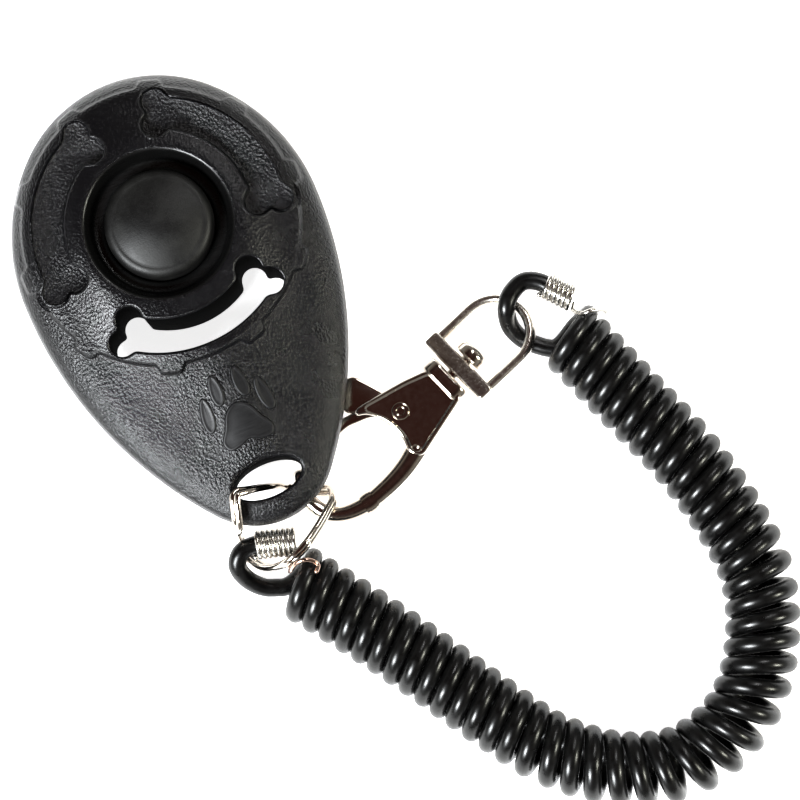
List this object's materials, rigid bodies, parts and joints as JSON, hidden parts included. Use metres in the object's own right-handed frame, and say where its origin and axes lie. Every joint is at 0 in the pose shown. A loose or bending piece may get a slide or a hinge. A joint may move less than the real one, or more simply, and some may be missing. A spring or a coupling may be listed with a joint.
{
  "type": "dog training clicker",
  "caption": "Teardrop hand-held clicker with a domed push button over a steel click plate, wire key ring and coiled wrist strap with a swivel clasp.",
  "frame": {"origin": "centre of the case's bounding box in plan, on the flat back face that it rests on", "axes": "+Z out of the button face, +Y from the tail with the lanyard hole towards the round head, +X to the right as seen from above"},
  "size_m": [0.0821, 0.1199, 0.0169],
  "materials": {
    "case_plastic": "fine spark texture, satin black",
    "button_plastic": "satin black with fine scratches",
    "spring_steel": "bright cold-rolled strip",
    "inner_plastic": "moulded, unpolished",
    "screw_steel": "zinc plated",
    "nickel": "bright nickel plate",
    "cord_plastic": "smooth glossy black",
    "wire_steel": "bright drawn wire"
  },
  "bodies": {
    "case": {"front_shell": "case_plastic", "back_shell": "case_plastic", "click_plate": "spring_steel", "plate_clamp": "inner_plastic", "clamp_screws": "screw_steel", "case_screws": "screw_steel"},
    "button": {"button": "button_plastic"},
    "ring": {"key_ring": "nickel"},
    "strap": {"coil_strap": "cord_plastic", "lower_end_loop": "cord_plastic", "upper_end_loop": "cord_plastic", "lower_ferrule": "wire_steel", "upper_ferrule": "wire_steel", "lower_tie_wire": "wire_steel", "upper_tie_wire": "wire_steel"},
    "eye": {"swivel_eye": "nickel"},
    "clasp": {"clasp_body": "nickel", "swivel_stud": "nickel", "gate_rivet": "nickel", "gate_spring": "spring_steel"},
    "gate": {"clasp_gate": "nickel"}
  },
  "joints": [
    {"name": "button_press", "type": "slide", "parent": "case", "child": "button", "axis": [0, 0, -1], "range_m": [0, 0.002], "stiffness_N_per_m": 3000, "springref_m": -0.0005, "deforming": ["click_plate"]},
    {"name": "ring_swing", "type": "hinge", "parent": "case", "child": "ring", "pos_m": [-0.0046, -0.0265, 0.0112], "axis": [0, 0, 1], "range_deg": [-3, 3]},
    {"name": "strap_swing", "type": "hinge", "parent": "ring", "child": "strap", "pos_m": [-0.0068, -0.0335, 0.003], "axis": [0, 0, 1], "range_deg": [-2, 2]},
    {"name": "eye_swing", "type": "hinge", "parent": "strap", "child": "eye", "pos_m": [0.0388, -0.019, 0.003], "axis": [0, 0, 1], "range_deg": [-1, 2]},
    {"name": "swivel_turn", "type": "hinge", "parent": "eye", "child": "clasp", "pos_m": [0.0275, -0.02275, 0.0026], "axis": [0.9367, 0.3502, 0], "range_deg": [-3, 3]},
    {"name": "gate_open", "type": "hinge", "parent": "clasp", "child": "gate", "pos_m": [0.02, -0.02438, 0.0025], "axis": [0, 0, 1], "range_deg": [0, 12], "stiffness_Nm_per_rad": 0.02, "springref_deg": -11.46, "deforming": ["gate_spring"]}
  ]
}
